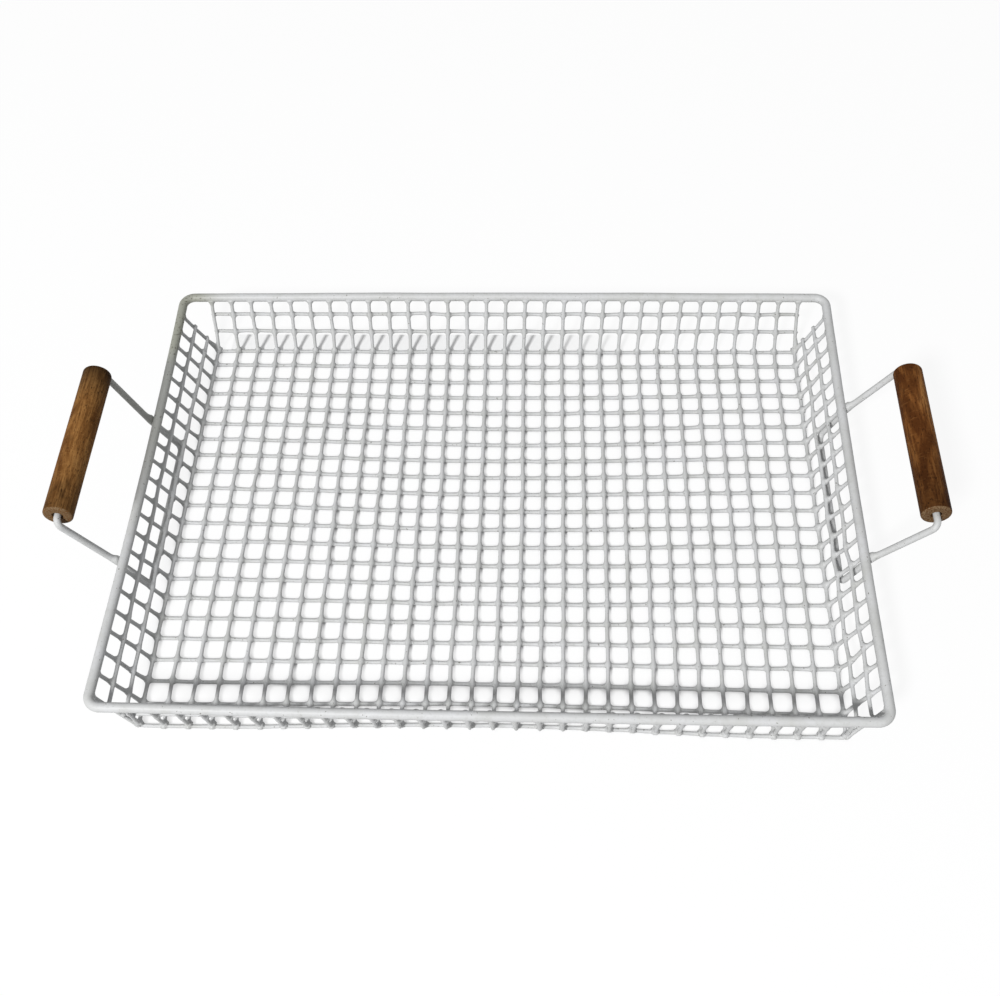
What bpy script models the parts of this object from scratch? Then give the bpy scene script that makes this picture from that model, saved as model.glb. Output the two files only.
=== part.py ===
"""Wire mesh tray with a round rod rim and two turned wooden grips.

Metres, +Z up, +X along the length, -Y towards the front. The tray stands on Z = 0, and the
origin is under the middle of its overall length and depth.
"""

import math

import bmesh
import bpy
from mathutils import Quaternion, Vector

OBJECT_NAME = "wire_mesh_tray"

# Mesh: one cross-shaped blank of welded wire, folded up along four sides
PITCH = 0.0127
COLUMNS = 30
ROWS = 21
WALL_CELLS = 3
WIRE_D = 0.0022
FOLD_R = 0.0030
COLUMN_DRIFT = 0.23
ROW_DRIFT = -0.12

# Lean of each wall from the vertical, for the sides at -Y and +Y, then -X and +X
SIDE_FLARE = {-1: math.radians(8.4), 1: math.radians(20.0)}
END_FLARE = {-1: math.radians(24.2), 1: math.radians(22.0)}

# The front wall folds up this far beyond the last floor wire, the back wall at it
FRONT_FOLD_OUT = 0.0015
FOLD_OUT = {-1: FRONT_FOLD_OUT, 1: 0.0}

# Rim: one closed round rod that the wires end against
RIM_D = 0.0055
RIM_CORNER_R = 0.0070
RIM_Z = 0.0383
FRONT_RIM_BOW = 0.0010
BACK_RIM_BOW = 0.0011
RIM_BOW = {-1: FRONT_RIM_BOW, 1: BACK_RIM_BOW}
RIM_SKEW = 0.0006

# Grips: turned wood, bored through, loose on the handle wire
GRIP_D = 0.0163
GRIP_LENGTH = 0.0982
GRIP_EDGE_R = 0.0015
BORE_D = 0.0058
BORE_EDGE_R = 0.0006
RIGHT_GRIP_SLIDE = 0.0025
GRIP_SLIDE = {-1: 0.0, 1: RIGHT_GRIP_SLIDE}

# Handles: closed wire frames on the outside of the end walls; above the rim their legs splay, and
# the bar is a little wider than its grip
HANDLE_WIRE_D = 0.0038
HANDLE_BEND_R = 0.0040
FRAME_DROP = 0.0301
LEFT_BAR_PLAY = 0.0072
RIGHT_BAR_PLAY = 0.0110
BAR_SPACING = {-1: GRIP_LENGTH + LEFT_BAR_PLAY, 1: GRIP_LENGTH + RIGHT_BAR_PLAY}
LEFT_LEG_SPLAY = 0.0062
RIGHT_LEG_SPLAY = 0.0050
LEG_SPACING = {-1: BAR_SPACING[-1] - LEFT_LEG_SPLAY, 1: BAR_SPACING[1] - RIGHT_LEG_SPLAY}
LEFT_BAR_SHIFT = -0.0010
RIGHT_BAR_SHIFT = 0.0010
BAR_SHIFT = {-1: LEFT_BAR_SHIFT, 1: RIGHT_BAR_SHIFT}
LEFT_HANDLE_RISE = 0.0488
RIGHT_HANDLE_RISE = 0.0456
HANDLE_RISE = {-1: LEFT_HANDLE_RISE, 1: RIGHT_HANDLE_RISE}
HANDLE_TILT = {-1: math.radians(21.2), 1: math.radians(36.5)}
LEFT_HANDLE_SHIFT = -0.0017
RIGHT_HANDLE_SHIFT = 0.0078
HANDLE_SHIFT = {-1: LEFT_HANDLE_SHIFT, 1: RIGHT_HANDLE_SHIFT}

# Clearances and facet counts
WELD_GAP = 0.0003
WELD_D = 0.0016
MERGE = 0.00001
WIRE_SIDES = 8
ROD_SIDES = 10
GRIP_SIDES = 28
BOW_STEPS = 8
FOLD_STEPS = 4
BEND_STEPS = 5
CORNER_STEPS = 6
EDGE_STEPS = 3

WHITE_COAT = (0.74, 0.75, 0.74, 1.0)
LEFT_WOOD = (0.19, 0.075, 0.024, 1.0)
RIGHT_WOOD = (0.13, 0.048, 0.016, 1.0)


def section_radius(diameter, sides):
    """Corner radius of the regular section that has the area of the round one."""
    turn = 2 * math.pi / sides
    return diameter / 2 * math.sqrt(turn / math.sin(turn))


WIRE_R = section_radius(WIRE_D, WIRE_SIDES)
RIM_R = section_radius(RIM_D, ROD_SIDES)
HANDLE_R = section_radius(HANDLE_WIRE_D, ROD_SIDES)

WIRE_FLAT = WIRE_R * math.cos(math.pi / WIRE_SIDES)
LAYER_STEP = 2 * WIRE_FLAT + WELD_GAP
LONG_WIRE_Z = WIRE_FLAT
CROSS_WIRE_Z = LONG_WIRE_Z + LAYER_STEP

HALF_LENGTH = COLUMNS * PITCH / 2
HALF_DEPTH = ROWS * PITCH / 2
FOLD_REACH = {side: HALF_DEPTH + beyond for side, beyond in FOLD_OUT.items()}
WALL_WIRE_LAYER = {-1: -LAYER_STEP, 1: LAYER_STEP}
RIM_LAYER = LAYER_STEP / 2
HANDLE_LAYER = RIM_R + WELD_GAP + HANDLE_R


def spread(index, count, drift):
    """Distance of a wire from the first of its set; the spacing is not quite even."""
    return PITCH * (index + drift * math.sin(math.pi * index / count))


def wall_point(half_span, flare, layer, climb):
    """Reach and height on a wall: layer counts outwards from the inner wires, climb up them."""
    reach = half_span + layer * math.cos(flare) + climb * math.sin(flare)
    height = CROSS_WIRE_Z - layer * math.sin(flare) + climb * math.cos(flare)
    return reach, height


def climb_to(height, flare, layer):
    """Climb at which a layer of a wall reaches a height."""
    return (height - CROSS_WIRE_Z + layer * math.sin(flare)) / math.cos(flare)


SIDE_CLIMB = {side: climb_to(RIM_Z, flare, RIM_LAYER) for side, flare in SIDE_FLARE.items()}
END_CLIMB = {side: climb_to(RIM_Z, flare, RIM_LAYER) for side, flare in END_FLARE.items()}
RIM_STOP = RIM_R + WELD_GAP


def rim_reach_y(side):
    return wall_point(FOLD_REACH[side], SIDE_FLARE[side], RIM_LAYER, SIDE_CLIMB[side])[0]


def rim_reach_x(side):
    return wall_point(HALF_LENGTH, END_FLARE[side], RIM_LAYER, END_CLIMB[side])[0]


def grip_axis(side):
    """Reach and height of a grip's axis."""
    tilt = HANDLE_TILT[side]
    reach = rim_reach_x(side) + HANDLE_LAYER * math.cos(tilt) + HANDLE_RISE[side] * math.sin(tilt)
    height = RIM_Z - HANDLE_LAYER * math.sin(tilt) + HANDLE_RISE[side] * math.cos(tilt)
    return reach, height


# The walls and handles lean unequally, so the mesh sits off the middle of the overall size
TRAY_X = (grip_axis(-1)[0] - grip_axis(1)[0]) / 2
TRAY_Y = (rim_reach_y(-1) + RIM_BOW[-1] - rim_reach_y(1) - RIM_BOW[1]) / 2


def clear_scene():
    for item in list(bpy.data.objects):
        bpy.data.objects.remove(item, do_unlink=True)


def make_collection(name):
    collection = bpy.data.collections.new(name)
    bpy.context.scene.collection.children.link(collection)
    return collection


def make_material(name, colour, roughness):
    material = bpy.data.materials.new(name)
    material.use_nodes = True
    shader = material.node_tree.nodes["Principled BSDF"]
    shader.inputs["Base Color"].default_value = colour
    shader.inputs["Roughness"].default_value = roughness
    shader.inputs["Metallic"].default_value = 0.0
    material.diffuse_color = colour
    return material


def bent(corners, radii, steps, closed=False):
    """A route through the corners, an arc of so many steps to a quarter turn in place of each."""
    route = []
    last = len(corners) - 1
    for index, (corner, radius) in enumerate(zip(corners, radii)):
        is_end = not closed and index in (0, last)
        if is_end or radius <= 0:
            route.append(corner)
            continue
        inwards = (corners[index - 1] - corner).normalized()
        onwards = (corners[(index + 1) % len(corners)] - corner).normalized()
        half = inwards.angle(onwards) / 2
        if math.pi / 2 - half < 1e-4:
            continue
        middle = corner + (inwards + onwards).normalized() * (radius / math.sin(half))
        spoke = corner + inwards * (radius / math.tan(half)) - middle
        hinge = inwards.cross(onwards).normalized()
        sweep = math.pi - 2 * half
        pieces = max(1, round(steps * sweep / (math.pi / 2)))
        for step in range(pieces + 1):
            route.append(middle + Quaternion(hinge, -sweep * step / pieces) @ spoke)
    return route


def make_wire(name, route, radius, material, collection, sides=WIRE_SIDES, closed=False):
    """A round-section curve along the route, turned so that a flat of it faces down."""
    curve = bpy.data.curves.new(name, "CURVE")
    curve.dimensions = "3D"
    curve.twist_mode = "Z_UP"
    curve.bevel_depth = radius
    curve.bevel_resolution = sides // 2 - 2
    curve.use_fill_caps = not closed
    spline = curve.splines.new("POLY")
    spline.points.add(len(route) - 1)
    spline.use_cyclic_u = closed
    spline.use_smooth = True
    for point, place in zip(spline.points, route):
        point.co = (place.x, place.y, place.z, 1.0)
        point.tilt = math.pi / sides
    curve.materials.append(material)
    wire = bpy.data.objects.new(name, curve)
    collection.objects.link(wire)
    return wire


def make_solid(curve_object, collection):
    """The curve's surface as a closed mesh object, in the curve's place."""
    bpy.context.view_layer.update()
    evaluated = curve_object.evaluated_get(bpy.context.evaluated_depsgraph_get())
    mesh = bpy.data.meshes.new_from_object(evaluated)
    surface = bmesh.new()
    surface.from_mesh(mesh)
    bmesh.ops.remove_doubles(surface, verts=surface.verts, dist=MERGE)
    surface.to_mesh(mesh)
    surface.free()
    name = curve_object.name
    place = curve_object.matrix_world.copy()
    bpy.data.objects.remove(curve_object, do_unlink=True)
    solid = bpy.data.objects.new(name, mesh)
    solid.matrix_world = place
    collection.objects.link(solid)
    return solid


def make_weld(name, inner, outer, cutters):
    """A nugget between the centre lines of two crossing wires."""
    axis = outer - inner
    mesh = bpy.data.meshes.new(name)
    nugget = bmesh.new()
    radius = WELD_D / 2
    bmesh.ops.create_cone(
        nugget, cap_ends=True, segments=WIRE_SIDES, radius1=radius, radius2=radius, depth=axis.length
    )
    nugget.to_mesh(mesh)
    nugget.free()
    weld = bpy.data.objects.new(name, mesh)
    weld.rotation_euler = axis.to_track_quat("Z", "Y").to_euler()
    weld.location = (inner + outer) / 2
    cutters.objects.link(weld)
    return weld


def make_welded_wires(label, bent_route, wall_routes, welds, material, collection, cutters):
    """A bent wire with the straight wires of one wall welded on, joined into one body."""
    curve = make_wire(f"{label}_wall_wires", bent_route, WIRE_R, material, collection)
    body = make_solid(curve, collection)
    joined = []
    for index, (route, ends) in enumerate(zip(wall_routes, welds), start=1):
        straight = make_wire(f"{label}_wall_cut_{index}", route, WIRE_R, material, cutters)
        joined.append(make_solid(straight, cutters))
        joined.append(make_weld(f"{label}_weld_{index}", ends[0], ends[1], cutters))
    for piece in joined:
        piece.hide_render = True
        piece.display_type = "WIRE"
        union = body.modifiers.new(piece.name, "BOOLEAN")
        union.operation = "UNION"
        union.solver = "EXACT"
        union.object = piece


def side_wall_point(side, climb, layer, x):
    """A point on the front (-1) or back (+1) wall."""
    y, z = wall_point(FOLD_REACH[side], SIDE_FLARE[side], layer, climb)
    return Vector((x, TRAY_Y + side * y, z))


def end_wall_point(side, climb, layer, y):
    """A point on the left (-1) or right (+1) wall."""
    x, z = wall_point(HALF_LENGTH, END_FLARE[side], layer, climb)
    return Vector((TRAY_X + side * x, y, z))


def cross_wire_route(x):
    """A front-to-back wire: down the front wall, over the floor and up the back wall."""
    corners = [
        side_wall_point(-1, SIDE_CLIMB[-1] - RIM_STOP, 0.0, x),
        side_wall_point(-1, 0.0, 0.0, x),
        side_wall_point(1, 0.0, 0.0, x),
        side_wall_point(1, SIDE_CLIMB[1] - RIM_STOP, 0.0, x),
    ]
    return bent(corners, [0.0, FOLD_R, FOLD_R, 0.0], FOLD_STEPS)


def long_wire_route(y):
    """A left-to-right wire, outside the cross wires and bent round the outermost one."""
    folds = [climb_to(LONG_WIRE_Z, END_FLARE[side], LAYER_STEP) for side in (-1, 1)]
    corners = [
        end_wall_point(-1, END_CLIMB[-1] - RIM_STOP, LAYER_STEP, y),
        end_wall_point(-1, folds[0], LAYER_STEP, y),
        end_wall_point(1, folds[1], LAYER_STEP, y),
        end_wall_point(1, END_CLIMB[1] - RIM_STOP, LAYER_STEP, y),
    ]
    return bent(corners, [0.0, LAYER_STEP, LAYER_STEP, 0.0], FOLD_STEPS)


def side_wall_route(side, cell):
    """A straight wire along the front wall, behind the cross wires, or outside the back wall."""
    half = HALF_LENGTH + WIRE_R
    ends = (TRAY_X - half, TRAY_X + half)
    return [side_wall_point(side, cell * PITCH, WALL_WIRE_LAYER[side], x) for x in ends]


def end_wall_route(side, cell):
    """A straight wire along the left or right wall, inside the long wires."""
    half = HALF_DEPTH + WIRE_R
    ends = (TRAY_Y - half, TRAY_Y + half)
    return [end_wall_point(side, cell * PITCH, 0.0, y) for y in ends]


def bowed(start, end, bow):
    """Points between two corners of the rim, off the straight line between them."""
    points = []
    for step in range(1, BOW_STEPS):
        part = step / BOW_STEPS
        points.append(start.lerp(end, part) + Vector((0.0, bow * 4 * part * (1 - part), 0.0)))
    return points


def rim_route():
    left, right = TRAY_X - rim_reach_x(-1), TRAY_X + rim_reach_x(1)
    front, back = TRAY_Y - rim_reach_y(-1), TRAY_Y + rim_reach_y(1)
    outline = [(right, back), (left, back), (left, front + RIM_SKEW), (right, front - RIM_SKEW)]
    corners = [Vector((x, y, RIM_Z)) for x, y in outline]
    back_points = bowed(corners[0], corners[1], RIM_BOW[1])
    front_points = bowed(corners[2], corners[3], -RIM_BOW[-1])
    route = [corners[0], *back_points, corners[1], corners[2], *front_points, corners[3]]
    radii = [RIM_CORNER_R if corner in corners else 0.0 for corner in route]
    return bent(route, radii, CORNER_STEPS, closed=True)


def handle_route(side):
    """A closed frame: a run low on the wall, two legs that splay past the rim, the grip's bar."""
    flare, tilt = END_FLARE[side], HANDLE_TILT[side]
    run_layer = RIM_LAYER + HANDLE_LAYER
    run_x, run_z = wall_point(HALF_LENGTH, flare, run_layer, END_CLIMB[side] - FRAME_DROP)
    knee = HANDLE_LAYER / math.cos((tilt - flare) / 2)
    knee_x = rim_reach_x(side) + knee * math.cos((flare + tilt) / 2)
    knee_z = RIM_Z - knee * math.sin((flare + tilt) / 2)
    bar_x, bar_z = grip_axis(side)
    middle, half = TRAY_Y + HANDLE_SHIFT[side], LEG_SPACING[side] / 2
    low, high = middle - half, middle + half
    bar_middle, bar_half = middle + BAR_SHIFT[side], BAR_SPACING[side] / 2
    stations = [
        (run_x, low, run_z, HANDLE_BEND_R),
        (run_x, high, run_z, HANDLE_BEND_R),
        (knee_x, high, knee_z, HANDLE_LAYER),
        (bar_x, bar_middle + bar_half, bar_z, HANDLE_BEND_R),
        (bar_x, bar_middle - bar_half, bar_z, HANDLE_BEND_R),
        (knee_x, low, knee_z, HANDLE_LAYER),
    ]
    corners = [Vector((TRAY_X + side * x, y, z)) for x, y, z, radius in stations]
    radii = [radius for x, y, z, radius in stations]
    return bent(corners, radii, BEND_STEPS, closed=True)


def rounded_edge(radius_at, height_at, edge, start):
    """Profile points of a quarter round that turns from the given heading."""
    points = []
    for step in range(EDGE_STEPS + 1):
        angle = start - math.pi / 2 * step / EDGE_STEPS
        points.append((radius_at + edge * math.cos(angle), height_at + edge * math.sin(angle)))
    return points


def grip_profile():
    """Closed half section of a grip: down the outside, up the bore."""
    outer = GRIP_D / 2 - GRIP_EDGE_R
    inner = BORE_D / 2 + BORE_EDGE_R
    half = GRIP_LENGTH / 2
    quarter = math.pi / 2
    points = rounded_edge(outer, half - GRIP_EDGE_R, GRIP_EDGE_R, quarter)
    points += rounded_edge(outer, GRIP_EDGE_R - half, GRIP_EDGE_R, 0.0)
    points += rounded_edge(inner, BORE_EDGE_R - half, BORE_EDGE_R, -quarter)
    points += rounded_edge(inner, half - BORE_EDGE_R, BORE_EDGE_R, math.pi)
    return points


def make_grip(name, side, material, collection):
    mesh = bpy.data.meshes.new(name)
    outline = bmesh.new()
    ring = [outline.verts.new((radius, 0.0, height)) for radius, height in grip_profile()]
    for index, vertex in enumerate(ring):
        outline.edges.new((ring[index - 1], vertex))
    outline.to_mesh(mesh)
    outline.free()
    mesh.materials.append(material)
    grip = bpy.data.objects.new(name, mesh)
    reach, height = grip_axis(side)
    middle = TRAY_Y + HANDLE_SHIFT[side] + GRIP_SLIDE[side]
    grip.location = (TRAY_X + side * reach, middle, height)
    grip.rotation_euler = (-math.pi / 2, 0.0, 0.0)
    turn = grip.modifiers.new("Turned", "SCREW")
    turn.axis = "Z"
    turn.steps = GRIP_SIDES
    turn.render_steps = GRIP_SIDES
    turn.use_merge_vertices = True
    turn.merge_threshold = MERGE
    turn.use_smooth_shade = True
    collection.objects.link(grip)
    return grip


def make_bent_wires(coat, collection):
    """The wires between the outermost ones, numbered with them from the left and the back."""
    for column in range(1, COLUMNS):
        x = TRAY_X - HALF_LENGTH + spread(column, COLUMNS, COLUMN_DRIFT)
        name = f"cross_wire_{column + 1:02d}"
        make_wire(name, cross_wire_route(x), WIRE_R, coat, collection)
    for row in range(1, ROWS):
        y = TRAY_Y + HALF_DEPTH - spread(row, ROWS, ROW_DRIFT)
        name = f"long_wire_{row + 1:02d}"
        make_wire(name, long_wire_route(y), WIRE_R, coat, collection)


def make_wall_wires(coat, collection, cutters):
    """The four outermost bent wires, each with the two straight wires of one wall."""
    climbs = [cell * PITCH for cell in range(1, WALL_CELLS)]
    layers = (0.0, LAYER_STEP)
    for label, side in (("front", -1), ("back", 1)):
        x = TRAY_X + side * HALF_LENGTH
        routes = [side_wall_route(side, cell) for cell in range(1, WALL_CELLS)]
        spots = (0.0, WALL_WIRE_LAYER[side])
        welds = [[side_wall_point(side, climb, layer, x) for layer in spots] for climb in climbs]
        make_welded_wires(label, cross_wire_route(x), routes, welds, coat, collection, cutters)
    for label, side in (("left", -1), ("right", 1)):
        y = TRAY_Y - side * HALF_DEPTH
        routes = [end_wall_route(side, cell) for cell in range(1, WALL_CELLS)]
        welds = [[end_wall_point(side, climb, layer, y) for layer in layers] for climb in climbs]
        make_welded_wires(label, long_wire_route(y), routes, welds, coat, collection, cutters)


def make_handle(label, side, coat, wood, collection):
    frame_name = f"handle_frame_{label}"
    make_wire(
        frame_name, handle_route(side), HANDLE_R, coat, collection, sides=ROD_SIDES, closed=True
    )
    make_grip(f"grip_{label}", side, wood, collection)


def build():
    clear_scene()
    collection = make_collection(OBJECT_NAME)
    cutters = make_collection("cutters")
    coat = make_material("white_coat", WHITE_COAT, 0.45)
    left_wood = make_material("left_wood", LEFT_WOOD, 0.55)
    right_wood = make_material("right_wood", RIGHT_WOOD, 0.55)
    make_bent_wires(coat, collection)
    make_wall_wires(coat, collection, cutters)
    make_wire("rim_rod", rim_route(), RIM_R, coat, collection, sides=ROD_SIDES, closed=True)
    make_handle("left", -1, coat, left_wood, collection)
    make_handle("right", 1, coat, right_wood, collection)


build()
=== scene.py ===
"""Looks of the wire mesh tray: coated welded mesh, rod rim, handle frames and wooden grips.

Metres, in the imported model's frame. Side -1 is the front or the left, side 1 the back or the right.
"""

import math
from collections import namedtuple
from functools import partial

import bpy
import numpy as np
from mathutils import Matrix, Vector


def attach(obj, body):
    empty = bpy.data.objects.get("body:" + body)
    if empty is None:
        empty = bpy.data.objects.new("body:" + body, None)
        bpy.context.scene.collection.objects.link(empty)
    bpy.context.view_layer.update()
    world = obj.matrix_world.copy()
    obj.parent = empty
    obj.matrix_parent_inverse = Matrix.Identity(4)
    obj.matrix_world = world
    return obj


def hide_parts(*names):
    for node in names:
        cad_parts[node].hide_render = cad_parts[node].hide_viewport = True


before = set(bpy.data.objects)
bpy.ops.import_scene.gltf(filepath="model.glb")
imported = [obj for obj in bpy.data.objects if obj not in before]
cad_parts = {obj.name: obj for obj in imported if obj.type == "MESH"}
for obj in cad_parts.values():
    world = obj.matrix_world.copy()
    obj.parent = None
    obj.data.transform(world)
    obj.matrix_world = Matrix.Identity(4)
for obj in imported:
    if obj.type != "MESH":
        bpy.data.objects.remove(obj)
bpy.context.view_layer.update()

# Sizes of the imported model's mesh
PITCH = 0.0127
COLUMNS = 30
ROWS = 21
WALL_CELLS = 3
COLUMN_DRIFT = 0.23
ROW_DRIFT = -0.12
FOLD_R = 0.0030
OUTER_FOLD_R = 0.0042
SIDE_FLARE = {-1: math.radians(8.4), 1: math.radians(20.0)}
END_FLARE = {-1: math.radians(24.2), 1: math.radians(22.0)}
FRONT_FOLD_OUT = 0.0015
WELD_GAP = 0.0003
LONG_WIRE_Z = 0.0010711
LAYER_STEP = 2 * LONG_WIRE_Z + WELD_GAP
CROSS_WIRE_Z = LONG_WIRE_Z + LAYER_STEP
HALF_LENGTH = COLUMNS * PITCH / 2
HALF_DEPTH = ROWS * PITCH / 2
FOLD_REACH = {-1: HALF_DEPTH + FRONT_FOLD_OUT, 1: HALF_DEPTH}

# Sizes of its rim; the bows are a hair less than the solid's, to stay within its outline
RIM_Z = 0.0383
RIM_LAYER = LAYER_STEP / 2
RIM_BOW = {-1: 0.00095, 1: 0.00105}
RIM_SKEW = 0.0006
RIM_CORNER_R = 0.0070

# Sizes of its grips and handles
GRIP_R = 0.00815
GRIP_LENGTH = 0.0982
BORE_R = 0.0029
GRIP_SLIDE = {-1: 0.0, 1: 0.0025}
HANDLE_LAYER = 0.0050920
HANDLE_BEND_R = 0.0040
FRAME_DROP = 0.0301
BAR_SPACING = {-1: GRIP_LENGTH + 0.0072, 1: GRIP_LENGTH + 0.0110}
LEG_SPACING = {-1: BAR_SPACING[-1] - 0.0062, 1: BAR_SPACING[1] - 0.0050}
BAR_SHIFT = {-1: -0.0010, 1: 0.0010}
HANDLE_RISE = {-1: 0.0488, 1: 0.0456}
HANDLE_TILT = {-1: math.radians(21.2), 1: math.radians(36.5)}
HANDLE_SHIFT = {-1: -0.0017, 1: 0.0078}

# Round sections of the visible wires, and the sides they are drawn with
WIRE_R = 0.00109
RIM_R = 0.00273
HANDLE_R = 0.00190
WIRE_SIDES = 10
RIM_SIDES = 24
HANDLE_SIDES = 18

# How far a weld presses two crossing wires into each other, how far straight wall wires end past the
# outermost bent ones, and how far bent wires end short of the rim's centre line
SINK = 0.0005
STRAIGHT_END = 0.0002
BENT_END = 0.0006

# Bent wires come out of the rim this far from their ends
RIM_EXIT = 0.0026

# Size of the smooth fillet round a weld, by what is welded, and the most that it adds to a wire's radius
CROSSING_FILLET = 0.0030
END_FILLET = 0.0010
RIM_FILLET = 0.0030
LEG_FILLET = 0.0055
RUN_FILLET = 0.0040
MOST_ADDED = 0.0013

# Corner radius of the coating's webs between crossing wires and at the rim, and the webs' lean towards
# the other wire; a higher sharpness makes them thinner
CROSSING_WEB = 0.0017
RIM_WEB = 0.0008
WEB_LEAN = math.radians(34)
WEB_SHARPNESS = 5
LEAST_WEB = 0.000001

# Rings of a wire's surface: where they lie round a weld, how close two may come, how far apart they
# are on straight runs and in bends, how often a closed rod is tested for bends, and the cosine of the
# turn from which a stretch counts as straight
RING_OFFSETS = np.array([-2.9, -2.0, -1.45, -1.05, 0.0, 1.05, 1.45, 2.0, 2.9]) * 0.001
LEAST_RING_GAP = 0.0002
PLAIN_GAP = 0.0070
BEND_GAP = 0.0008
CLOSED_STEP = 0.006
STRAIGHT_COSINE = 0.9990

# Steps along a wire for finding its direction and the place nearest to a point
HEADING_STEP = 0.0002
NEAREST_STEP = 0.0001

# Welds act on rings this near to them, and the blended surface is found in this many steps. A point
# this far outside its wire counts as all weld
WELD_REACH = 0.0045
BLEND_STEPS = 14
ALL_WELD = 0.0007

# A wire's thickness varies from one step along it to the next, past its end too, by a share of its
# radius, and its open ends, which are inside the rim or in a weld, are this share of it
THICKNESS_STEP = 0.009
THICKNESS_PAST_END = 0.02
THICKNESS_WAVE = 0.02
END_TAPER = 0.7

# Sideways waviness of the wires; the right wall is the most knocked about
FLOOR_WAVE = 0.00013
CROSS_WALL_WAVE = 0.00016
SIDE_WALL_WAVE = 0.0002
END_WALL_WAVE = {-1: 0.0002, 1: 0.00045}
RIM_WAVE = 0.00010
RIM_WAVE_KNOTS = 60

# The mesh isn't quite even: its wires lie up to this far to the side of even spacing
MOST_SHIFT = 0.0019

# The rim's corners reach out past the solid's by this much, and its ends bow in between them
BACK_CORNER_OUT = {-1: 0.0008, 1: 0.0014}
FRONT_CORNER_OUT = {-1: 0.0010, 1: 0.0009}
END_BOW = {-1: 0.0018, 1: 0.0008}
BOW_STEPS = 24

# The lowest wires are flat at this height, where the tray stands
STAND_Z = 0.000006

# Turned grips: their corners, the sides and rings they are drawn with, and their uneven surface, which
# stays below the solid's
GRIP_EDGE_R = 0.0014
GRIP_LIP_R = 0.0006
GRIP_SIDES = 48
GRIP_RINGS = 40
BORE_RINGS = 8
FACE_RINGS = 5
EDGE_STEPS = 6
LIP_STEPS = 4
GRIP_SKIN = 0.00004
GRIP_BUMP = 0.000006
GRIP_WAVES = 7
GRIP_SEED = {-1: 3, 1: 8}

rng = np.random.default_rng(11)


def wall_point(half_span, flare, layer, climb):
    """Reach and height on a wall: layer counts outwards from the inner wires, climb up them."""
    reach = half_span + layer * math.cos(flare) + climb * math.sin(flare)
    return reach, CROSS_WIRE_Z - layer * math.sin(flare) + climb * math.cos(flare)


def climb_to(height, flare, layer):
    """Climb at which a layer of a wall reaches a height."""
    return (height - CROSS_WIRE_Z + layer * math.sin(flare)) / math.cos(flare)


SIDE_CLIMB = {side: climb_to(RIM_Z, flare, RIM_LAYER) for side, flare in SIDE_FLARE.items()}
END_CLIMB = {side: climb_to(RIM_Z, flare, RIM_LAYER) for side, flare in END_FLARE.items()}


def rim_reach_y(side):
    return wall_point(FOLD_REACH[side], SIDE_FLARE[side], RIM_LAYER, SIDE_CLIMB[side])[0]


def rim_reach_x(side):
    return wall_point(HALF_LENGTH, END_FLARE[side], RIM_LAYER, END_CLIMB[side])[0]


def grip_axis(side):
    """Reach and height of a grip's axis."""
    tilt = HANDLE_TILT[side]
    reach = rim_reach_x(side) + HANDLE_LAYER * math.cos(tilt) + HANDLE_RISE[side] * math.sin(tilt)
    return reach, RIM_Z - HANDLE_LAYER * math.sin(tilt) + HANDLE_RISE[side] * math.cos(tilt)


# The walls and handles lean unequally, so the mesh sits off the middle of the overall size
TRAY_X = (grip_axis(-1)[0] - grip_axis(1)[0]) / 2
TRAY_Y = (rim_reach_y(-1) + RIM_BOW[-1] - rim_reach_y(1) - RIM_BOW[1]) / 2
WALL_WIRE_LAYER = {-1: SINK - LAYER_STEP, 1: LAYER_STEP - SINK}


def side_wall_point(side, climb, layer, x):
    y, z = wall_point(FOLD_REACH[side], SIDE_FLARE[side], layer, climb)
    return np.array([x, TRAY_Y + side * y, z])


def end_wall_point(side, climb, layer, y):
    x, z = wall_point(HALF_LENGTH, END_FLARE[side], layer, climb)
    return np.array([TRAY_X + side * x, y, z])


def spread(index, count, drift):
    """Distance of a wire from the first of its set; the spacing is not quite even."""
    return PITCH * (index + drift * math.sin(math.pi * index / count))


COLUMN_X = [TRAY_X - HALF_LENGTH + spread(i, COLUMNS, COLUMN_DRIFT) for i in range(COLUMNS + 1)]
ROW_Y = [TRAY_Y + HALF_DEPTH - spread(j, ROWS, ROW_DRIFT) for j in range(ROWS + 1)]


def rounded(corners, radii, closed=False, steps=14):
    """The corners joined by straight runs, with an arc in place of each that has a radius."""
    route = []
    count = len(corners)
    for index, radius in enumerate(radii):
        corner = Vector(corners[index])
        if radius <= 0 or (not closed and index in (0, count - 1)):
            route.append(np.array(corner))
            continue
        before = (Vector(corners[index - 1]) - corner).normalized()
        after = (Vector(corners[(index + 1) % count]) - corner).normalized()
        half = before.angle(after) / 2
        middle = corner + (before + after).normalized() * (radius / math.sin(half))
        spoke = corner + before * (radius / math.tan(half)) - middle
        hinge = before.cross(after).normalized()
        for step in range(steps + 1):
            turn = Matrix.Rotation(-(math.pi - 2 * half) * step / steps, 3, hinge)
            route.append(np.array(middle + turn @ spoke))
    if closed:
        route.append(route[0])
    return np.array(route)


# One end of a weld: the place along this wire, a point, the line and the radius of the wire it is
# welded to, the fillet, the place along this wire where the other's centre line passes, and the web
Joint = namedtuple("Joint", "place point line radius fillet centre web")


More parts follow.
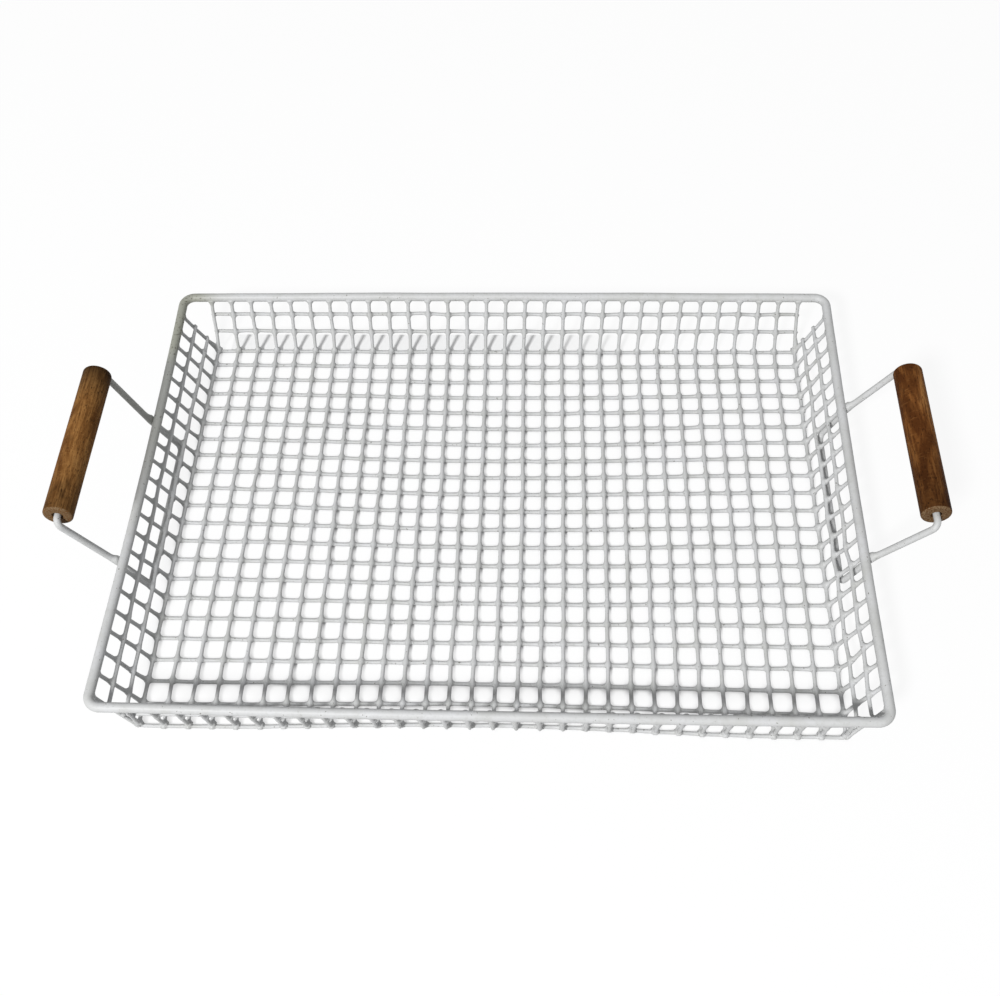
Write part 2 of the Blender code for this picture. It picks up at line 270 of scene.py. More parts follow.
class Wire:
    """A bent or straight wire: a route, a sideways shift along it, and what it is welded to."""

    def __init__(self, route, radius, sideways, closed=False):
        lengths = np.linalg.norm(np.diff(route, axis=0), axis=1)
        self.at = np.concatenate([[0.0], np.cumsum(lengths)])
        self.route = route
        self.radius = radius
        self.sideways = np.array(sideways, float)
        self.closed = closed
        self.knots = None
        self.joints = []

    @property
    def length(self):
        return self.at[-1]

    def base(self, s):
        """Points of the unshifted route at distances along it."""
        s = np.atleast_1d(s)
        return np.stack([np.interp(s, self.at, self.route[:, axis]) for axis in range(3)], axis=1)

    def nearest(self, point):
        """Distance along the unshifted route at which it passes nearest to a point."""
        s = np.linspace(0.0, self.length, int(self.length / NEAREST_STEP) + 2)
        return s[np.argmin(np.linalg.norm(self.base(s) - point, axis=1))]

    def bend_to(self, s, shifts):
        """Sideways shifts at places along the wire, joined smoothly."""
        order = np.argsort(s)
        self.knots = np.array(s)[order], np.array(shifts)[order]

    def shift(self, s):
        """The sideways shift at distances along the wire, as a cubic through the knots."""
        if self.knots is None:
            return np.zeros(len(s))
        at, value = self.knots
        slope = np.gradient(value, at)
        k = np.clip(np.searchsorted(at, s) - 1, 0, len(at) - 2)
        span = at[k + 1] - at[k]
        t = np.clip((s - at[k]) / span, 0.0, 1.0)
        t2, t3 = t * t, t * t * t
        return (
            (2 * t3 - 3 * t2 + 1) * value[k]
            + (t3 - 2 * t2 + t) * span * slope[k]
            + (3 * t2 - 2 * t3) * value[k + 1]
            + (t3 - t2) * span * slope[k + 1]
        )

    def place(self, s):
        """Points of the shifted wire at distances along it."""
        s = np.atleast_1d(s)
        return self.base(s) + self.shift(s)[:, None] * self.sideways

    def heading(self, s):
        """Directions of the shifted wire at distances along it."""
        s = np.atleast_1d(s)
        if self.closed:
            ahead = self.place((s + HEADING_STEP) % self.length)
            behind = self.place((s - HEADING_STEP) % self.length)
        else:
            ahead = self.place(np.minimum(s + HEADING_STEP, self.length))
            behind = self.place(np.maximum(s - HEADING_STEP, 0.0))
        line = ahead - behind
        return line / np.linalg.norm(line, axis=1)[:, None]

    def weld(self, s, other, t, fillet, centre=None, web=0.0):
        """Welds the wire, round s, to another wire at t. A web of coating fills the corners in the
        mesh's plane, beside the place along this wire where the other's centre line passes."""
        centre = s if centre is None else centre
        point, line = other.place(t)[0], other.heading(t)[0]
        self.joints.append(Joint(s, point, line, other.radius, fillet, centre, web))


def ring_places(wire, plain_gap, bend_gap):
    """Places of the rings along a wire: close together at welds and in bends."""
    marks = [0.0, wire.length]
    for joint in wire.joints:
        marks.extend(joint.place + RING_OFFSETS)
    if wire.closed:
        marks.extend(np.arange(0.0, wire.length, CLOSED_STEP))
    marks = np.unique(np.clip(marks, 0.0, wire.length))
    keep = [marks[0]]
    for mark in marks[1:]:
        if mark - keep[-1] > LEAST_RING_GAP:
            keep.append(mark)
    places = []
    for low, high in zip(keep[:-1], keep[1:]):
        cosine = np.dot(*wire.heading(np.array([low, high])))
        gap = plain_gap if cosine >= STRAIGHT_COSINE else bend_gap
        count = max(1, math.ceil((high - low) / gap - 0.01))
        places.extend(low + (high - low) * np.arange(count) / count)
    if not wire.closed:
        places.append(keep[-1])
    return np.array(places)


def blended_reach(centres, spokes, radius, joints):
    """Distance along each spoke to the smooth union of the wire and the one it is welded to."""
    point = np.array([joint.point for joint in joints])[:, None, :]
    line = np.array([joint.line for joint in joints])[:, None, :]
    other = np.array([joint.radius for joint in joints])[:, None]
    fillet = np.array([joint.fillet for joint in joints])[:, None]
    radius = radius[:, None]
    reach = np.repeat(radius, spokes.shape[1], axis=1)
    for _ in range(BLEND_STEPS):
        away = centres[:, None, :] + reach[:, :, None] * spokes - point
        away -= (away * line).sum(2)[:, :, None] * line
        far = np.linalg.norm(away, axis=2) - other
        own = reach - radius
        mix = np.clip(1.0 - np.abs(own - far) / fillet, 0.0, None)
        gap = np.minimum(own, far) - mix * mix * fillet / 4
        reach = np.minimum(reach - np.minimum(gap, 0.0), radius + MOST_ADDED)
    return reach


def web_width(gap, corner):
    """How far coating spreads beside a crossing wire, as a round corner, at a gap from that wire."""
    gap = np.clip(gap, 0.0, corner)
    return corner - np.sqrt(corner * corner - (corner - gap) ** 2)


def webbed_reach(s, centres, over, turns, radius, joints):
    """Distance along each spoke to the coating's webs, which lean towards the other wire."""
    gap = np.array([abs(place - joint.centre) - joint.radius for place, joint in zip(s, joints)])
    web = web_width(gap, np.array([max(joint.web, LEAST_WEB) for joint in joints]))
    towards = np.sign([up @ (joint.point - centre) for up, joint, centre in zip(over, joints, centres)])
    level = np.abs(np.cos(turns)[None, :]) * math.cos(WEB_LEAN)
    lean = level + np.sin(turns)[None, :] * math.sin(WEB_LEAN) * towards[:, None]
    return radius[:, None] + web[:, None] * np.clip(lean, 0.0, 1.0) ** WEB_SHARPNESS


def ring_quads(rings, sides, closed):
    """Faces between rings of points, and from the last ring to the first where they close."""
    a = np.arange(sides)
    b = (a + 1) % sides
    quads = []
    for ring in range(rings if closed else rings - 1):
        here, there = ring * sides, ((ring + 1) % rings) * sides
        quads.append(np.stack([here + a, here + b, there + b, there + a], axis=1))
    return np.concatenate(quads)


def wire_surface(wire, sides, plain_gap=PLAIN_GAP, bend_gap=BEND_GAP, wave=THICKNESS_WAVE):
    """Points and faces of a wire's coated surface, and how much weld each point carries."""
    s = ring_places(wire, plain_gap, bend_gap)
    centres = wire.place(s)
    along = wire.heading(s)
    across = wire.sideways - (along @ wire.sideways)[:, None] * along
    across /= np.linalg.norm(across, axis=1)[:, None]
    over = np.cross(along, across)
    turns = np.arange(sides) * 2 * math.pi / sides
    spokes = (
        np.cos(turns)[None, :, None] * across[:, None, :]
        + np.sin(turns)[None, :, None] * over[:, None, :]
    )
    knots = np.arange(0, wire.length + THICKNESS_PAST_END, THICKNESS_STEP)
    radius = wire.radius * (1 + np.interp(s, knots, rng.normal(0, wave, len(knots))))
    if wire.closed:
        radius[-1] = radius[0] = wire.radius
    reach = np.repeat(radius[:, None], sides, axis=1)
    if wire.joints:
        spots = np.array([joint.place for joint in wire.joints])
        chosen = np.argmin(np.abs(s[:, None] - spots[None, :]), axis=1)
        near = np.nonzero(np.abs(s - spots[chosen]) < WELD_REACH)[0]
        joints = [wire.joints[chosen[ring]] for ring in near]
        blended = blended_reach(centres[near], spokes[near], radius[near], joints)
        webbed = webbed_reach(s[near], centres[near], over[near], turns, radius[near], joints)
        reach[near] = np.maximum(blended, webbed)
    caps = []
    if not wire.closed:
        reach[[0, -1]] *= END_TAPER
        corners = list(range(len(s) * sides))
        caps = [corners[:sides][::-1], corners[-sides:]]
    weld = np.clip((reach - radius[:, None]) / ALL_WELD, 0.0, 1.0)
    points = centres[:, None, :] + reach[:, :, None] * spokes
    return points.reshape(-1, 3), ring_quads(len(s), sides, wire.closed), caps, weld.ravel()


def make_piece(name, surfaces, material, stands=True):
    """One mesh object from one or more surfaces, flat where the tray stands."""
    points, faces, weld = [], [], []
    start = 0
    for places, quads, caps, amount in surfaces:
        points.append(places)
        weld.append(amount)
        faces.extend((quads + start).tolist())
        faces.extend([[corner + start for corner in cap] for cap in caps])
        start += len(places)
    points = np.concatenate(points)
    if stands:
        points[:, 2] = np.maximum(points[:, 2], STAND_Z)
    mesh = bpy.data.meshes.new(name)
    mesh.from_pydata(points.tolist(), [], faces)
    mesh.polygons.foreach_set("use_smooth", [True] * len(mesh.polygons))
    layer = mesh.attributes.new("weld", "FLOAT", "POINT")
    layer.data.foreach_set("value", np.concatenate(weld).astype(np.float32))
    mesh.materials.append(material)
    piece = bpy.data.objects.new(name, mesh)
    bpy.context.scene.collection.objects.link(piece)
    return piece


def mesh_place(x, y):
    """A place on the floor, from -1 to 1 each way across it."""
    return (x - TRAY_X) / HALF_LENGTH, (y - TRAY_Y) / HALF_DEPTH


def limited(millimetres):
    return min(max(millimetres * 0.001, -MOST_SHIFT), MOST_SHIFT)


def cross_shift(x, y):
    """Cross wires crowd together between the middle and the ends, and lean left towards the back."""
    u, v = mesh_place(x, y)
    return limited(0.3 - (0.9 * v + v * v) * (1 - u * u) - u * (2.1 - 3.4 * u * u))


def long_shift(x, y):
    """Long wires dip towards the front in the middle of the tray, and less so along its front."""
    u, v = mesh_place(x, y)
    middle = -1.7 - 0.9 * v + 2.3 * v**4
    ends = 1.3 + 1.3 * v - 2.5 * v * v
    return limited(middle + (ends - middle) * math.sin(math.pi * u / 2) ** 2)


def shift_wire(wire, spots):
    """Shifts a bent wire sideways at spots: each a point, its shift and how far chance may add to it."""
    s = [0.0, wire.length]
    shifts = [0.0, 0.0]
    for point, shift, wave in spots:
        s.append(wire.nearest(point))
        shifts.append(shift + rng.normal(0, wave))
    wire.bend_to(s, shifts)


def cross_wire(x):
    """A wire bent up into the front and the back wall."""
    pressed = np.array([0.0, 0.0, SINK])
    corners = [
        side_wall_point(-1, SIDE_CLIMB[-1] - BENT_END, 0.0, x),
        side_wall_point(-1, 0.0, 0.0, x) - pressed,
        side_wall_point(1, 0.0, 0.0, x) - pressed,
        side_wall_point(1, SIDE_CLIMB[1] - BENT_END, 0.0, x),
    ]
    wire = Wire(rounded(corners, [0, FOLD_R, FOLD_R, 0]), WIRE_R, (1, 0, 0))
    spots = []
    for side, edge_y in ((-1, ROW_Y[-1]), (1, ROW_Y[0])):
        for cell in range(1, WALL_CELLS):
            shift = cross_shift(x, edge_y) * (1 - cell / WALL_CELLS)
            spots.append((side_wall_point(side, cell * PITCH, 0.0, x), shift, CROSS_WALL_WAVE))
    for y in ROW_Y:
        spots.append((np.array([x, y, CROSS_WIRE_Z]), cross_shift(x, y), FLOOR_WAVE))
    shift_wire(wire, spots)
    return wire


def long_wire(y):
    """A wire bent up into the left and the right wall, outside the cross wires."""
    folds = {side: climb_to(LONG_WIRE_Z, END_FLARE[side], LAYER_STEP) for side in (-1, 1)}
    corners = [
        end_wall_point(-1, END_CLIMB[-1] - BENT_END, LAYER_STEP, y),
        end_wall_point(-1, folds[-1], LAYER_STEP, y),
        end_wall_point(1, folds[1], LAYER_STEP, y),
        end_wall_point(1, END_CLIMB[1] - BENT_END, LAYER_STEP, y),
    ]
    wire = Wire(rounded(corners, [0, OUTER_FOLD_R, OUTER_FOLD_R, 0]), WIRE_R, (0, 1, 0))
    spots = []
    for side, edge_x in ((-1, COLUMN_X[0]), (1, COLUMN_X[-1])):
        for cell in range(1, WALL_CELLS):
            shift = long_shift(edge_x, y) * (1 - cell / WALL_CELLS)
            spots.append((end_wall_point(side, cell * PITCH, LAYER_STEP, y), shift, END_WALL_WAVE[side]))
    for x in COLUMN_X:
        spots.append((np.array([x, y, LONG_WIRE_Z]), long_shift(x, y), FLOOR_WAVE))
    shift_wire(wire, spots)
    return wire


def cross_at(first, second, near, web=CROSSING_WEB, fillet=CROSSING_FILLET):
    """Welds two crossing wires to each other at the place on both nearest to a point."""
    s, t = first.nearest(near), second.nearest(near)
    for _ in range(2):
        s = first.nearest(second.place(t)[0] - first.shift(np.array([s]))[0] * first.sideways)
        t = second.nearest(first.place(s)[0] - second.shift(np.array([t]))[0] * second.sideways)
    first.weld(s, second, t, fillet, web=web)
    second.weld(t, first, s, fillet, web=web)


def straight_wires(on_wall, layer, bent_layer, up, ends, places, bent, wave):
    """The straight wires of a wall, a little wavy up and down it and welded to all its bent wires.
    The coating is thin at the outermost ones, where the straight wires end."""
    wires = []
    for cell in range(1, WALL_CELLS):
        route = np.array([on_wall(cell * PITCH, layer, end) for end in ends])
        wire = Wire(route, WIRE_R, up)
        wire.bend_to(np.linspace(0.0, wire.length, len(bent)), rng.normal(0, wave, len(bent)))
        for place, other in zip(places, bent):
            near = on_wall(cell * PITCH, bent_layer, place)
            if place in (places[0], places[-1]):
                cross_at(other, wire, near, 0.0, END_FILLET)
            else:
                cross_at(other, wire, near)
        wires.append(wire)
    return wires


def build_mesh():
    """All the wires of the mesh, welded to each other."""
    crosses = [cross_wire(x) for x in COLUMN_X]
    longs = [long_wire(y) for y in ROW_Y]
    for x, wire in zip(COLUMN_X, crosses):
        for y, other in zip(ROW_Y, longs):
            cross_at(wire, other, np.array([x, y, CROSS_WIRE_Z]))
    half_x, half_y = HALF_LENGTH + STRAIGHT_END, HALF_DEPTH + STRAIGHT_END
    walls = {}
    for side, side_label, end_label in ((-1, "front", "left"), (1, "back", "right")):
        lean = SIDE_FLARE[side]
        walls[side_label] = straight_wires(
            partial(side_wall_point, side), WALL_WIRE_LAYER[side], 0.0,
            (0.0, side * math.sin(lean), math.cos(lean)),
            (TRAY_X - half_x, TRAY_X + half_x), COLUMN_X, crosses, SIDE_WALL_WAVE,
        )
        lean = END_FLARE[side]
        walls[end_label] = straight_wires(
            partial(end_wall_point, side), SINK, LAYER_STEP,
            (side * math.sin(lean), 0.0, math.cos(lean)),
            (TRAY_Y - half_y, TRAY_Y + half_y), ROW_Y, longs, END_WALL_WAVE[side],
        )
    return crosses, longs, walls


def bowed(start, end, amount, axis):
    """Points between two corners of the rim, off the straight line between them."""
    parts = np.arange(1, BOW_STEPS)[:, None] / BOW_STEPS
    sag = np.eye(3)[axis] * amount * 4 * parts * (1 - parts)
    return start + (end - start) * parts + sag


def rim_wire():
    """The closed rim rod, bowed out along its sides and in along its ends."""
    left, right = TRAY_X - rim_reach_x(-1), TRAY_X + rim_reach_x(1)
    front, back = TRAY_Y - rim_reach_y(-1), TRAY_Y + rim_reach_y(1)
    outline = [
        (right + BACK_CORNER_OUT[1], back),
        (left - BACK_CORNER_OUT[-1], back),
        (left - FRONT_CORNER_OUT[-1], front + RIM_SKEW),
        (right + FRONT_CORNER_OUT[1], front - RIM_SKEW),
    ]
    bows = [(RIM_BOW[1], 1), (END_BOW[-1], 0), (-RIM_BOW[-1], 1), (-END_BOW[1], 0)]
    corners = [np.array([x, y, RIM_Z]) for x, y in outline]
    stops, radii = [], []
    for index, (amount, axis) in enumerate(bows):
        between = bowed(corners[index], corners[(index + 1) % len(corners)], amount, axis)
        stops += [corners[index], *between]
        radii += [RIM_CORNER_R] + [0.0] * len(between)
    wire = Wire(rounded(stops, radii, closed=True), RIM_R, (0, 0, 1), closed=True)
    wander = rng.normal(0, RIM_WAVE, RIM_WAVE_KNOTS)
    wander[-1] = wander[0]
    wire.bend_to(np.linspace(0, wire.length, RIM_WAVE_KNOTS), wander)
    return wire


def weld_to_rim(wires, rim):
    """Welds both ends of bent wires to the rim."""
    for wire in wires:
        for s, inwards in ((0.0, 1), (wire.length, -1)):
            t = rim.nearest(wire.place(s)[0])
            wire.weld(s + inwards * RIM_EXIT, rim, t, RIM_FILLET, s - inwards * BENT_END, RIM_WEB)


def handle_wire(side):
    """A closed handle frame: a run along the wall, two legs with a knee at the rim, and a bar."""
    flare, tilt = END_FLARE[side], HANDLE_TILT[side]
    run_x, run_z = wall_point(HALF_LENGTH, flare, RIM_LAYER + HANDLE_LAYER, END_CLIMB[side] - FRAME_DROP)
    knee = HANDLE_LAYER / math.cos((tilt - flare) / 2)
    knee_x = rim_reach_x(side) + knee * math.cos((flare + tilt) / 2)
    knee_z = RIM_Z - knee * math.sin((flare + tilt) / 2)
    bar_x, bar_z = grip_axis(side)
    middle, half = TRAY_Y + HANDLE_SHIFT[side], LEG_SPACING[side] / 2
    low, high = middle - half, middle + half
    bar_middle, bar_half = middle + BAR_SHIFT[side], BAR_SPACING[side] / 2
    stations = [
        (run_x, low, run_z, HANDLE_BEND_R),
        (run_x, high, run_z, HANDLE_BEND_R),
        (knee_x, high, knee_z, HANDLE_LAYER),
        (bar_x, bar_middle + bar_half, bar_z, HANDLE_BEND_R),
        (bar_x, bar_middle - bar_half, bar_z, HANDLE_BEND_R),
        (knee_x, low, knee_z, HANDLE_LAYER),
    ]
    corners = [np.array([TRAY_X + side * x, y, z]) for x, y, z, radius in stations]
    route = rounded(corners, [radius for x, y, z, radius in stations], closed=True)
    return Wire(route, HANDLE_R, (side * math.cos(tilt), 0.0, -math.sin(tilt)), closed=True)


def weld_handle(wire, side, longs, rim):
    """Welds a handle frame to the rim at both legs and to the wall's wires along its run."""
    middle, half = TRAY_Y + HANDLE_SHIFT[side], LEG_SPACING[side] / 2
    for sign in (-1, 1):
        reach = rim_reach_x(side) + HANDLE_LAYER
        spot = np.array([TRAY_X + side * reach, middle + sign * half, RIM_Z])
        wire.weld(wire.nearest(spot), rim, rim.nearest(spot), LEG_FILLET)
    for y, other in zip(ROW_Y, longs):
        if abs(y - middle) <= half - HANDLE_BEND_R:
            near = end_wall_point(side, END_CLIMB[side] - FRAME_DROP, LAYER_STEP, y)
            wire.weld(wire.nearest(near), other, other.nearest(near), RUN_FILLET)


def lathe(profile, sides, bumps):
    """Points and faces of a turned piece about Y, closed over its bore."""
    radius, along = np.array(profile).T[:, :, None]
    turns = np.arange(sides) * 2 * math.pi / sides
    bumpy = radius + bumps(along, turns[None, :], radius)
    points = np.stack([bumpy * np.cos(turns), np.repeat(along, sides, 1), bumpy * np.sin(turns)], 2)
    quads = np.roll(ring_quads(len(profile), sides, True)[:, ::-1], 1, axis=1)
    return points.reshape(-1, 3), quads, [], np.zeros(len(profile) * sides)


def quarter_arc(centre_r, centre_y, radius, quarter, steps):
    """Points of a quarter circle in a grip's profile, but for its first point."""
    turns = [(quarter + step / steps) * math.pi / 2 for step in range(1, steps + 1)]
    return [(centre_r + radius * math.cos(turn), centre_y + radius * math.sin(turn)) for turn in turns]


def grip_profile():
    """Radius and height round a grip's half section: outside, back end, bore and front end."""
    half = GRIP_LENGTH / 2
    outer, inner = GRIP_R - GRIP_SKIN, BORE_R
    edge_r, edge_y = outer - GRIP_EDGE_R, half - GRIP_EDGE_R
    lip_r, lip_y = inner + GRIP_LIP_R, half - GRIP_LIP_R
    points = [(outer, y) for y in np.linspace(-edge_y, edge_y, GRIP_RINGS)]
    points += quarter_arc(edge_r, edge_y, GRIP_EDGE_R, 0, EDGE_STEPS)
    points += [(r, half) for r in np.linspace(edge_r, lip_r, FACE_RINGS)[1:]]
    points += quarter_arc(lip_r, lip_y, GRIP_LIP_R, 1, LIP_STEPS)
    points += [(inner, y) for y in np.linspace(lip_y, -lip_y, BORE_RINGS)[1:]]
    points += quarter_arc(lip_r, -lip_y, GRIP_LIP_R, 2, LIP_STEPS)
    points += [(r, -half) for r in np.linspace(lip_r, edge_r, FACE_RINGS)[1:]]
    points += quarter_arc(edge_r, -edge_y, GRIP_EDGE_R, 3, EDGE_STEPS)[:-1]
    return points


def make_grip(name, side, material):
    """A turned grip, slightly uneven on its outside, placed on its handle's bar."""
    noise = np.random.default_rng(GRIP_SEED[side])
    waves = [
        (noise.uniform(20, 90), noise.integers(1, 6), noise.uniform(0, 6.28), noise.uniform(1, 3))
        for _ in range(GRIP_WAVES)
    ]

    def bumps(y, turn, radius):
        total = sum(size * np.sin(pitch * y + lobes * turn + phase) for pitch, lobes, phase, size in waves)
        return np.where(radius > (GRIP_R + BORE_R) / 2, GRIP_BUMP * total - GRIP_SKIN, 0.0)

    piece = make_piece(name, [lathe(grip_profile(), GRIP_SIDES, bumps)], material, stands=False)
    reach, height = grip_axis(side)
    piece.location = (TRAY_X + side * reach, TRAY_Y + HANDLE_SHIFT[side] + GRIP_SLIDE[side], height)
    return piece


def grey(value):
    return (value, value, value)


class Nodes:
    """Short names for building the node tree of a material or a world."""

    def __init__(self, owner):
        owner.use_nodes = True
        self.tree = owner.node_tree

    def feed(self, socket, value):
        """Links a socket or sets its value; a colour may leave out its alpha."""
        if isinstance(value, bpy.types.NodeSocket):
            self.tree.links.new(value, socket)
        elif socket.type == "RGBA":
            socket.default_value = (*value, 1.0)
        else:
            socket.default_value = value

    def set(self, node, **inputs):
        """Feeds a node's inputs by name, with an underscore for each space."""
        for name, value in inputs.items():
            self.feed(node.inputs[name.replace("_", " ")], value)
        return node

    def add(self, kind, settings=None, **inputs):
        node = self.tree.nodes.new(kind)
        for key, value in (settings or {}).items():
            setattr(node, key, value)
        return self.set(node, **inputs)

    def object_place(self):
        """The place on the object, and its three coordinates."""
        place = self.add("ShaderNodeTexCoord").outputs["Object"]
        return place, self.add("ShaderNodeSeparateXYZ", Vector=place).outputs

    def stretched(self, vector, scale, shift):
        """A place stretched by three scales and shifted, so that one noise gives different marks."""
        return self.add("ShaderNodeMapping", Vector=vector, Location=shift, Scale=scale).outputs["Vector"]

    def noise(self, vector, scale, detail=3.0, rough=0.5, distortion=0.0):
        return self.add(
            "ShaderNodeTexNoise", Vector=vector, Scale=scale, Detail=detail, Roughness=rough,
            Distortion=distortion,
        ).outputs["Fac"]

    def ramp(self, value, *stops):
        """Colours at places from 0 to 1, blended in between."""
        node = self.add("ShaderNodeValToRGB", Fac=value)
        band = node.color_ramp
        while len(band.elements) < len(stops):
            band.elements.new(0.5)
        for element, (place, colour) in zip(band.elements, stops):
            element.position = place
            element.color = (*colour, 1.0)
        return node.outputs["Color"]

    def mix(self, share, first, second, blend="MIX"):
        node = self.add("ShaderNodeMix", {"data_type": "RGBA", "blend_type": blend}, Factor=share)
        self.feed(node.inputs[6], first)
        self.feed(node.inputs[7], second)
        return node.outputs[2]

    def cover(self, colour, paint, value, low, high, first, last):
        """Paints over a colour by a share that goes from first to last as a value goes from low to high."""
        return self.mix(self.ramp(value, (low, grey(first)), (high, grey(last))), colour, paint)

    def math(self, operation, first, second=0.5, third=None, clamp=False):
        node = self.add("ShaderNodeMath", {"operation": operation, "use_clamp": clamp})
        self.feed(node.inputs[0], first)
        self.feed(node.inputs[1], second)
        if third is not None:
            self.feed(node.inputs[2], third)
        return node.outputs[0]

    def product(self, first, *others):
        for other in others:
            first = self.math("MULTIPLY", first, other)
        return first

    def slope(self, value, start, end):
        """Goes from 0 to 1 as a value goes from start to end, and no further."""
        scale = 1.0 / (end - start)
        return self.math("MULTIPLY_ADD", value, scale, -start * scale, clamp=True)

    def bump(self, strength, distance, height):
        node = self.add("ShaderNodeBump", Strength=strength, Distance=distance, Height=height)
        return node.outputs["Normal"]


# Colours of the coating, where it is dull, plain and clean, of what is on it, and of the painted shade on
# the left rim, which shares the soil's colour
COAT_DULL = (0.565, 0.570, 0.560)
COAT_PLAIN = (0.615, 0.620, 0.620)
COAT_CLEAN = (0.650, 0.655, 0.665)
GRIME = (0.40, 0.40, 0.34)
FINE_DIRT = (0.42, 0.42, 0.40)
WELD_TINT = (0.50, 0.505, 0.49)
SOIL_AND_SHADE = (0.350, 0.355, 0.300)
DARK_SPECK = (0.130, 0.120, 0.095)

# The rim is darkened at the left, by soil near the back corner and by painted shade along the rim's back
# part, which deepens the left grip's shadow there: from where to where it sets in, leftwards, backwards
# (half of it near the corner only, half along the rim's back part) and upwards
SOIL_AND_SHADE_X = (-0.186667, -0.203333)
SOIL_CORNER_Y = (0.083333, 0.100000)
PAINTED_SHADE_Y = (-0.050000, 0.033333)
SOIL_AND_SHADE_Z = (0.034, 0.036)


def coat_material():
    """Dull off-white coating with faint grey clouds, rubbed-in dirt and small specks; soil darkens the left
    rim's back corner, and painted shade its back part, where the left grip's shadow falls.
    """
    material = bpy.data.materials.new("white_coat_finish")
    n = Nodes(material)
    place, spot = n.object_place()
    weld = n.add("ShaderNodeAttribute", {"attribute_name": "weld"}).outputs["Fac"]
    cloud = n.noise(place, 60.0, 4.0, 0.65)
    fine = n.noise(place, 520.0, 4.0, 0.65)
    tint = n.ramp(cloud, (0.32, COAT_DULL), (0.52, COAT_PLAIN), (0.70, COAT_CLEAN))
    grime = n.ramp(n.noise(place, 33.0, 3.0, 0.6, 0.4), (0.58, grey(0.0)), (0.72, grey(0.4)))
    tint = n.mix(n.product(grime, fine), tint, GRIME)
    tint = n.cover(tint, FINE_DIRT, fine, 0.36, 0.48, 0.22, 0.0)
    tint = n.mix(n.product(weld, 0.12), tint, WELD_TINT)
    # Soil near the left back corner, and painted shade along the left rim's back part, where the grip's
    # shadow falls
    at_corner = n.product(n.slope(spot["Y"], *SOIL_CORNER_Y), 0.5)
    soil_and_shade_along = n.math("ADD", at_corner, n.product(n.slope(spot["Y"], *PAINTED_SHADE_Y), 0.5))
    soil_and_shade = n.product(n.slope(spot["X"], *SOIL_AND_SHADE_X), soil_and_shade_along, n.slope(spot["Z"], *SOIL_AND_SHADE_Z))
    soil_and_shade = n.math("MULTIPLY", soil_and_shade, n.math("MULTIPLY_ADD", cloud, 0.6, 0.68), clamp=True)
    tint = n.mix(soil_and_shade, tint, SOIL_AND_SHADE)
    speck = n.math("MULTIPLY_ADD", soil_and_shade, 0.11, n.noise(place, 760.0, 1.0, 0.4))
    tint = n.cover(tint, DARK_SPECK, speck, 0.730, 0.770, 0.0, 0.85)
    height = n.math("MULTIPLY_ADD", fine, 0.4, n.noise(place, 230.0, 2.0, 0.5))
    n.set(
        n.tree.nodes["Principled BSDF"],
        Base_Color=tint,
        Roughness=n.math("MULTIPLY_ADD", cloud, 0.25, 0.34),
        Specular_IOR_Level=0.3,
        Normal=n.bump(0.22, 0.0003, height),
    )
    return material


# Worn oiled wood of a grip: its colours, where in the noise its marks are taken from, how scratched it is,
# and the tones that darken it along its length, from its front end to its back end
Wood = namedtuple("Wood", "dark middle light offset scratches tones")
LEFT_WOOD = Wood(
    dark=(0.150, 0.058, 0.013), middle=(0.345, 0.162, 0.047), light=(0.430, 0.215, 0.068),
    offset=0.0, scratches=0.45, tones=(0.46, 0.88, 1.00, 0.84, 0.12),
)
RIGHT_WOOD = Wood(
    dark=(0.092, 0.029, 0.006), middle=(0.230, 0.087, 0.021), light=(0.365, 0.166, 0.050),
    offset=0.37, scratches=0.30, tones=(0.40, 0.66, 0.94, 1.00, 0.90),
)
END_GRAIN = (0.170, 0.105, 0.052)
PALE_END_GRAIN = (0.260, 0.175, 0.100)
BLACKENED = 0.35

# How deep the end grain goes from the grip's ends
END_GRAIN_DEPTH = 0.0009


